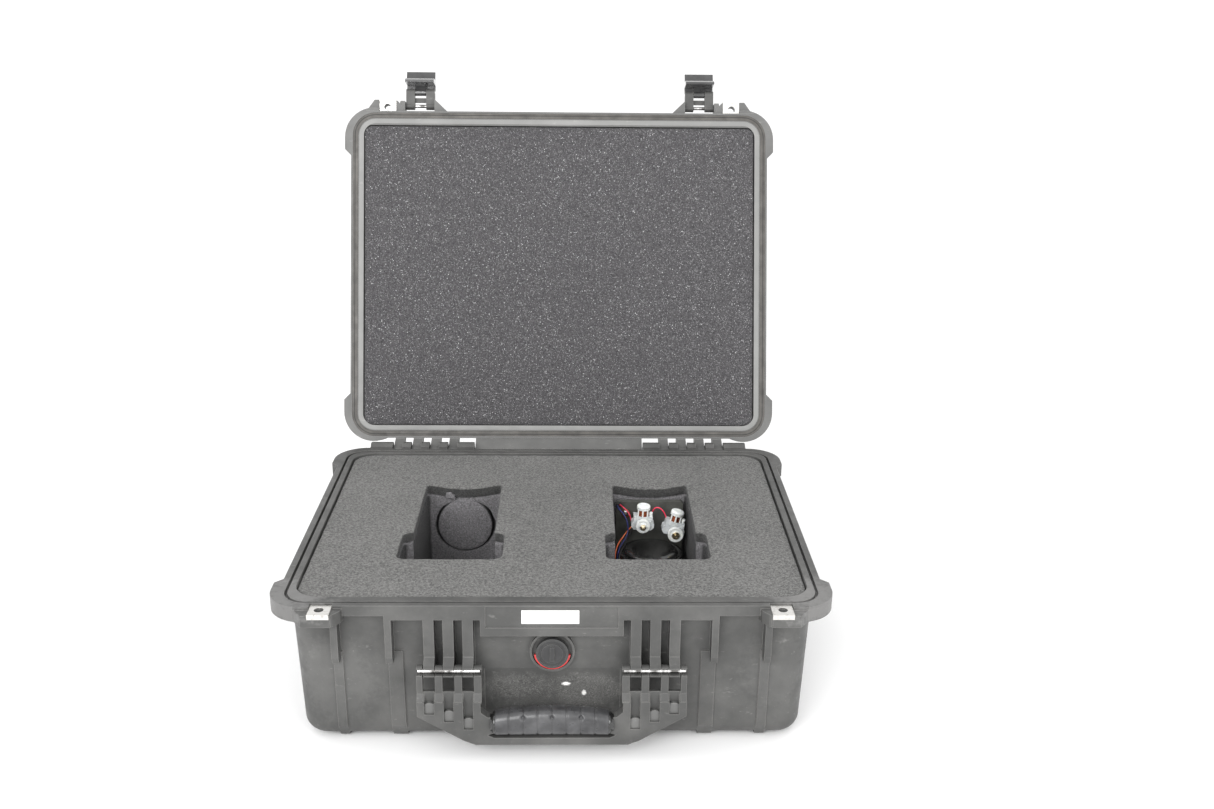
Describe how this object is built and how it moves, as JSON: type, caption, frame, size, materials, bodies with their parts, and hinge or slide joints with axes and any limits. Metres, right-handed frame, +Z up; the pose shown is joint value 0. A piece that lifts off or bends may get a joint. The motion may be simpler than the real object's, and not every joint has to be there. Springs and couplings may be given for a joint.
{
  "type": "equipment case with foam inserts and camera turret payload",
  "caption": "Open hard-shell transit case with latches, folding handle and cut foam, holding a small motor-driven camera turret with leads.",
  "frame": {"origin": "centre of the underside, on the plane of the feet", "axes": "+X to the right seen from the handle side, +Y towards the hinges, +Z up"},
  "size_m": [0.525, 0.6238, 0.5771],
  "materials": {
    "black_plastic": "moulded, fine grain",
    "steel": "stainless, lightly scratched",
    "pin_steel": "polished steel pins",
    "white_label": "blank printed label",
    "red_rubber": "glossy silicone ring",
    "gasket_rubber": "satin extruded rubber",
    "grip_rubber": "satin over-mould",
    "valve_plastic": "satin moulded",
    "foam_grey": "fine open-cell polyurethane foam",
    "foam_dark": "coarse cut foam with bright cell facets",
    "turret_matte": "machined and painted black",
    "turret_gloss": "polished black",
    "motor_white": "translucent white nylon",
    "copper": "enamelled copper winding",
    "brass": "turned brass",
    "lead_red": "PVC insulation",
    "lead_blue": "PVC insulation",
    "lead_orange": "PVC insulation",
    "lead_black": "PVC insulation"
  },
  "bodies": {
    "base": {"base_lug_left": "black_plastic", "base_lug_right": "black_plastic", "base_shell": "black_plastic", "blank_label": "white_label", "foam_block": "foam_grey", "foam_floor_pad": "foam_grey", "foam_plug": "foam_dark", "foam_top_sheet": "foam_grey", "handle_pin_left": "pin_steel", "handle_pin_right": "pin_steel", "hinge_pin_left": "pin_steel", "hinge_pin_right": "pin_steel", "padlock_plate_base_left": "steel", "padlock_plate_base_right": "steel", "valve_body": "valve_plastic", "valve_seal_ring": "red_rubber"},
    "lid": {"latch_pin_left": "pin_steel", "latch_pin_right": "pin_steel", "lid_foam": "foam_dark", "lid_gasket": "gasket_rubber", "lid_lug_left": "black_plastic", "lid_lug_right": "black_plastic", "lid_shell": "black_plastic", "padlock_plate_lid_left": "steel", "padlock_plate_lid_right": "steel"},
    "handle": {"handle_frame": "black_plastic", "handle_grip": "grip_rubber"},
    "valve_knob": {"valve_knob": "valve_plastic"},
    "payload": {"lead_black": "lead_black", "lead_blue": "lead_blue", "lead_link": "lead_red", "lead_orange": "lead_orange", "lead_plug": "turret_matte", "lead_red": "lead_red", "lead_socket": "turret_matte", "motor_cap_left": "motor_white", "motor_cap_right": "motor_white", "motor_gearbox_left": "motor_white", "motor_gearbox_right": "motor_white", "motor_winding_left": "copper", "motor_winding_right": "copper", "payload_bracket": "turret_matte", "payload_screws": "steel", "turret_collar": "turret_matte"},
    "turret_dome": {"turret_dome": "turret_gloss"},
    "latch_arm_left": {"latch_arm_left": "black_plastic", "latch_lever_pin_left": "pin_steel"},
    "latch_lever_left": {"latch_lever_left": "black_plastic"},
    "wheel_left": {"motor_wheel_left": "motor_white", "motor_shaft_left": "brass"},
    "latch_arm_right": {"latch_arm_right": "black_plastic", "latch_lever_pin_right": "pin_steel"},
    "latch_lever_right": {"latch_lever_right": "black_plastic"},
    "wheel_right": {"motor_wheel_right": "motor_white", "motor_shaft_right": "brass"}
  },
  "joints": [
    {"name": "lid_hinge", "type": "hinge", "parent": "base", "child": "lid", "pos_m": [0, 0.2178, 0.142], "axis": [-1, 0, 0], "range_deg": [-108.8, 0]},
    {"name": "handle_swing", "type": "hinge", "parent": "base", "child": "handle", "pos_m": [0, -0.204, 0.089], "axis": [-1, 0, 0], "range_deg": [0, 125]},
    {"name": "valve_turn", "type": "hinge", "parent": "base", "child": "valve_knob", "pos_m": [0, -0.19, 0.101], "axis": [0, -1, 0], "range_deg": [0, 180]},
    {"name": "payload_lift", "type": "slide", "parent": "base", "child": "payload", "axis": [0, 0, 1], "range_m": [0, 0.18]},
    {"name": "turret_pan", "type": "hinge", "parent": "payload", "child": "turret_dome", "pos_m": [0.104, 0.04, 0.08], "axis": [0, 0, 1], "range_deg": [-160, 160]},
    {"name": "latch_arm_left_pivot", "type": "hinge", "parent": "lid", "child": "latch_arm_left", "pos_m": [-0.172, 0.3809, 0.53733], "axis": [-1, 0, 0], "range_deg": [-90, 0]},
    {"name": "latch_lever_left_pivot", "type": "hinge", "parent": "latch_arm_left", "child": "latch_lever_left", "pos_m": [-0.172, 0.38638, 0.55342], "axis": [-1, 0, 0], "range_deg": [0, 40]},
    {"name": "wheel_left_spin", "type": "hinge", "parent": "payload", "child": "wheel_left", "pos_m": [0.095, 0.045, 0.123], "axis": [0, -1, 0], "continuous": true},
    {"name": "latch_arm_right_pivot", "type": "hinge", "parent": "lid", "child": "latch_arm_right", "pos_m": [0.172, 0.3809, 0.53733], "axis": [-1, 0, 0], "range_deg": [-90, 0]},
    {"name": "latch_lever_right_pivot", "type": "hinge", "parent": "latch_arm_right", "child": "latch_lever_right", "pos_m": [0.172, 0.38638, 0.55342], "axis": [-1, 0, 0], "range_deg": [0, 40]},
    {"name": "wheel_right_spin", "type": "hinge", "parent": "payload", "child": "wheel_right", "pos_m": [0.1312, 0.045, 0.113], "axis": [0, -1, 0], "continuous": true}
  ]
}
